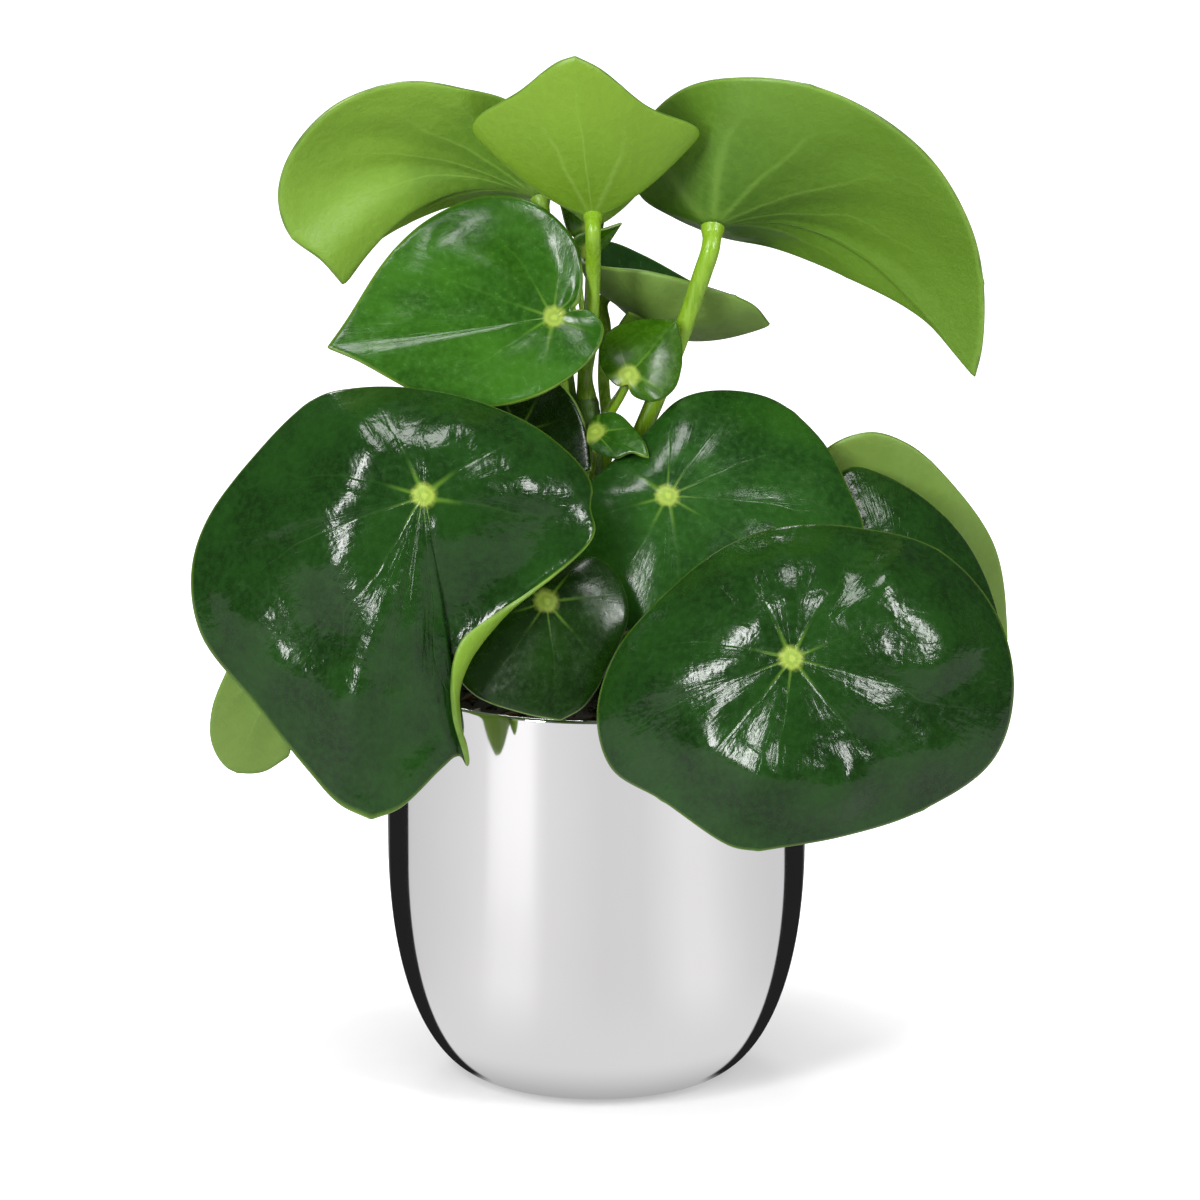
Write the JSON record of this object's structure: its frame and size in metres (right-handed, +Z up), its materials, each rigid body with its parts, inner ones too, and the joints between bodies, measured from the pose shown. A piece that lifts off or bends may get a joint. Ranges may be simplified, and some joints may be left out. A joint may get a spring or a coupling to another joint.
{
  "type": "potted peperomia",
  "caption": "Bushy house plant with thick, glossy, shield-shaped leaves on long stalks, growing in soil in a round-bellied chrome pot.",
  "frame": {"origin": "centre of the pot's flat underside", "axes": "+Z up along the pot axis, +X to the right and +Y to the back as the plant is seen from its front"},
  "size_m": [0.2327, 0.1627, 0.3035],
  "materials": {
    "pot": "polished",
    "soil": "matte",
    "stem": "satin",
    "petiole": "satin",
    "leaf": "gloss",
    "leaf_young": "gloss"
  },
  "bodies": {
    "root": {"pot": "pot", "soil": "soil", "stem": "stem", "leaf_top_left": "leaf", "petiole_top_left": "petiole", "leaf_top_centre": "leaf", "petiole_top_centre": "petiole", "leaf_top_right": "leaf", "petiole_top_right": "petiole", "leaf_mid_left": "leaf", "petiole_mid_left": "petiole", "leaf_low_left": "leaf", "petiole_low_left": "petiole", "leaf_low_right": "leaf", "petiole_low_right": "petiole", "leaf_mid_right": "leaf", "petiole_mid_right": "petiole", "leaf_low_middle": "leaf", "petiole_low_middle": "petiole", "leaf_right_light": "leaf", "petiole_right_light": "petiole", "leaf_right_dark": "leaf", "petiole_right_dark": "petiole", "leaf_left_light": "leaf", "petiole_left_light": "petiole", "leaf_back_right": "leaf", "petiole_back_right": "petiole", "leaf_back_top": "leaf_young", "petiole_back_top": "petiole", "leaf_back_point": "leaf_young", "petiole_back_point": "petiole", "leaf_young_upper": "leaf_young", "petiole_young_upper": "petiole", "leaf_young_lower": "leaf_young", "petiole_young_lower": "petiole", "leaf_centre_left": "leaf", "petiole_centre_left": "petiole", "leaf_back_small": "leaf_young", "petiole_back_small": "petiole", "leaf_rear_left": "leaf", "petiole_rear_left": "petiole", "leaf_rear_right": "leaf", "petiole_rear_right": "petiole", "leaf_rear_upper": "leaf", "petiole_rear_upper": "petiole"}
  },
  "joints": []
}
